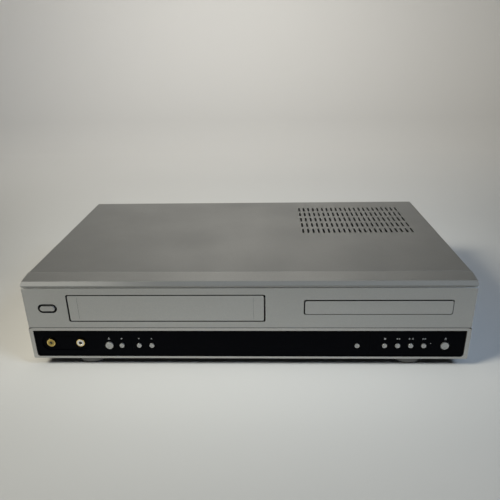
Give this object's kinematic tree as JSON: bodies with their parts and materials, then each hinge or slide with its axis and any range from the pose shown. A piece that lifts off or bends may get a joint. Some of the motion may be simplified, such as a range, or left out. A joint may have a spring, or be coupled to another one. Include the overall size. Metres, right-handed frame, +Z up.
{
  "type": "disc and tape player",
  "caption": "Wide silver disc and tape player with a cassette door, a disc tray, a dark control strip and a vented cover.",
  "frame": {"origin": "centre of the footprint, on the surface the feet stand on", "axes": "+X to the right seen from the front, +Y to the back, +Z up"},
  "size_m": [0.433, 0.2582, 0.0932],
  "materials": {
    "silver_sheet": "fine satin silver paint",
    "plated_sheet": "zinc plated",
    "silver_plastic": "satin silver paint",
    "frame_plastic": "satin silver paint",
    "gloss_black": "gloss",
    "smoked_window": "dark smoked gloss",
    "display_glass": "dark glass tube",
    "foot_plastic": "silver paint",
    "pad_rubber": "matt",
    "steel": "bright",
    "button_silver": "silver paint",
    "circuit_board": "varnished board",
    "socket_gold": "plated",
    "machined_aluminium": "turned",
    "motor_can": "plain",
    "white_plastic": "moulded",
    "black_plastic": "moulded"
  },
  "bodies": {
    "root": {"bottom_chassis": "plated_sheet", "top_cover": "silver_sheet", "rear_panel": "plated_sheet", "front_bezel": "silver_plastic", "control_frame": "frame_plastic", "control_panel": "gloss_black", "display_window": "smoked_window", "display_tube": "display_glass", "feet": "foot_plastic", "foot_pads": "pad_rubber", "screws": "steel", "control_board": "circuit_board", "power_switch_board": "circuit_board", "video_jack_front": "socket_gold", "audio_jack_front": "socket_gold", "door_spring": "steel", "tape_deck_plate": "plated_sheet", "carriage_side_frames": "plated_sheet", "head_drum_base": "machined_aluminium", "capstan_motor": "motor_can", "tape_heads": "motor_can", "loading_motor": "motor_can", "main_board": "circuit_board", "tuner_module": "motor_can", "rear_jacks": "socket_gold", "mains_inlet": "black_plastic", "power_supply_board": "circuit_board", "decoder_board": "circuit_board", "loader_chassis": "black_plastic", "loader_motor": "motor_can", "clamp_bridge": "plated_sheet"},
    "power_button": {"power_button": "button_silver"},
    "tape_eject_button": {"tape_eject_button": "button_silver"},
    "record_button": {"record_button": "button_silver"},
    "channel_down_button": {"channel_down_button": "button_silver"},
    "channel_up_button": {"channel_up_button": "button_silver"},
    "source_select_button": {"source_select_button": "button_silver"},
    "stop_button": {"stop_button": "button_silver"},
    "rewind_button": {"rewind_button": "button_silver"},
    "play_button": {"play_button": "button_silver"},
    "fast_forward_button": {"fast_forward_button": "button_silver"},
    "disc_eject_button": {"disc_eject_button": "button_silver"},
    "door": {"cassette_door": "silver_plastic"},
    "carriage": {"cassette_carriage": "plated_sheet"},
    "holder": {"cassette_holder": "plated_sheet"},
    "drum": {"head_drum": "machined_aluminium"},
    "capstan_spindle": {"capstan": "steel"},
    "pinch_lever": {"pinch_arm": "plated_sheet"},
    "pinch_wheel": {"pinch_roller": "pad_rubber"},
    "supply_reel": {"supply_reel_table": "white_plastic"},
    "takeup_reel": {"takeup_reel_table": "white_plastic"},
    "supply_guide": {"supply_guide_carrier": "motor_can"},
    "takeup_guide": {"takeup_guide_carrier": "motor_can"},
    "tray": {"disc_tray": "black_plastic", "tray_front": "silver_plastic"},
    "pinion": {"tray_pinion": "white_plastic"},
    "traverse": {"traverse_deck": "plated_sheet"},
    "table": {"turntable": "black_plastic"},
    "pickup": {"optical_pickup": "motor_can"},
    "clamp": {"disc_clamp": "black_plastic"}
  },
  "joints": [
    {"name": "power_press", "type": "slide", "parent": "root", "child": "power_button", "axis": [0, 1, 0], "range_m": [0, 0.001], "stiffness_N_per_m": 300, "springref_m": -0.001},
    {"name": "tape_eject_press", "type": "slide", "parent": "root", "child": "tape_eject_button", "axis": [0, 1, 0], "range_m": [0, 0.001], "stiffness_N_per_m": 300, "springref_m": -0.001},
    {"name": "record_press", "type": "slide", "parent": "root", "child": "record_button", "axis": [0, 1, 0], "range_m": [0, 0.001], "stiffness_N_per_m": 300, "springref_m": -0.001},
    {"name": "channel_down_press", "type": "slide", "parent": "root", "child": "channel_down_button", "axis": [0, 1, 0], "range_m": [0, 0.001], "stiffness_N_per_m": 300, "springref_m": -0.001},
    {"name": "channel_up_press", "type": "slide", "parent": "root", "child": "channel_up_button", "axis": [0, 1, 0], "range_m": [0, 0.001], "stiffness_N_per_m": 300, "springref_m": -0.001},
    {"name": "source_select_press", "type": "slide", "parent": "root", "child": "source_select_button", "axis": [0, 1, 0], "range_m": [0, 0.001], "stiffness_N_per_m": 300, "springref_m": -0.001},
    {"name": "stop_press", "type": "slide", "parent": "root", "child": "stop_button", "axis": [0, 1, 0], "range_m": [0, 0.001], "stiffness_N_per_m": 300, "springref_m": -0.001},
    {"name": "rewind_press", "type": "slide", "parent": "root", "child": "rewind_button", "axis": [0, 1, 0], "range_m": [0, 0.001], "stiffness_N_per_m": 300, "springref_m": -0.001},
    {"name": "play_press", "type": "slide", "parent": "root", "child": "play_button", "axis": [0, 1, 0], "range_m": [0, 0.001], "stiffness_N_per_m": 300, "springref_m": -0.001},
    {"name": "fast_forward_press", "type": "slide", "parent": "root", "child": "fast_forward_button", "axis": [0, 1, 0], "range_m": [0, 0.001], "stiffness_N_per_m": 300, "springref_m": -0.001},
    {"name": "disc_eject_press", "type": "slide", "parent": "root", "child": "disc_eject_button", "axis": [0, 1, 0], "range_m": [0, 0.001], "stiffness_N_per_m": 300, "springref_m": -0.001},
    {"name": "door_swing", "type": "hinge", "parent": "root", "child": "door", "pos_m": [-0.07763, -0.1261, 0.07719], "axis": [1, 0, 0], "range_deg": [0, 90], "stiffness_Nm_per_rad": 0.01, "springref_deg": -17.19},
    {"name": "carriage_slide", "type": "slide", "parent": "root", "child": "carriage", "axis": [0, 1, 0], "range_m": [0, 0.058]},
    {"name": "holder_lower", "type": "slide", "parent": "carriage", "child": "holder", "axis": [0, 0, -1], "range_m": [0, 0.012]},
    {"name": "drum_spin", "type": "hinge", "parent": "root", "child": "drum", "pos_m": [-0.07763, 0.0436, 0.05], "axis": [0, 0, 1], "continuous": true},
    {"name": "capstan_spin", "type": "hinge", "parent": "root", "child": "capstan_spindle", "pos_m": [-0.02543, 0.0156, 0.04], "axis": [0, 0, 1], "continuous": true},
    {"name": "pinch_swing", "type": "hinge", "parent": "root", "child": "pinch_lever", "pos_m": [-0.01643, 0.0396, 0.038], "axis": [0, 0, -1], "range_deg": [0, 20]},
    {"name": "pinch_wheel_spin", "type": "hinge", "parent": "pinch_lever", "child": "pinch_wheel", "pos_m": [-0.00822, 0.01705, 0.046], "axis": [0, 0, 1], "continuous": true},
    {"name": "supply_reel_spin", "type": "hinge", "parent": "root", "child": "supply_reel", "pos_m": [-0.12383, -0.0564, 0.034], "axis": [0, 0, 1], "continuous": true},
    {"name": "supply_guide_slide", "type": "slide", "parent": "root", "child": "supply_guide", "axis": [-0.2425, 0.9701, 0], "range_m": [0, 0.04123]},
    {"name": "takeup_reel_spin", "type": "hinge", "parent": "root", "child": "takeup_reel", "pos_m": [-0.03143, -0.0564, 0.034], "axis": [0, 0, 1], "continuous": true},
    {"name": "takeup_guide_slide", "type": "slide", "parent": "root", "child": "takeup_guide", "axis": [0.2425, 0.9701, 0], "range_m": [0, 0.04123]},
    {"name": "tray_slide", "type": "slide", "parent": "root", "child": "tray", "axis": [0, -1, 0], "range_m": [0, 0.135]},
    {"name": "pinion_spin", "type": "hinge", "parent": "root", "child": "pinion", "pos_m": [0.07403, -0.1051, 0.06], "axis": [0, 0, 1], "range_deg": [0, 960]},
    {"name": "traverse_lift", "type": "slide", "parent": "root", "child": "traverse", "axis": [0, 0, 1], "range_m": [0, 0.008]},
    {"name": "table_spin", "type": "hinge", "parent": "traverse", "child": "table", "pos_m": [0.12513, -0.0531, 0.055], "axis": [0, 0, 1], "continuous": true},
    {"name": "pickup_slide", "type": "slide", "parent": "traverse", "child": "pickup", "axis": [0, 1, 0], "range_m": [0, 0.034]},
    {"name": "clamp_spin", "type": "hinge", "parent": "root", "child": "clamp", "pos_m": [0.12513, -0.0531, 0.075], "axis": [0, 0, 1], "continuous": true}
  ],
  "couplings": [
    {"joint": "pinion_spin", "follows": "tray_slide", "rad_per_m": 122.72},
    {"joint": "takeup_guide_slide", "follows": "supply_guide_slide", "ratio": 1},
    {"joint": "clamp_spin", "follows": "table_spin", "ratio": 1}
  ]
}
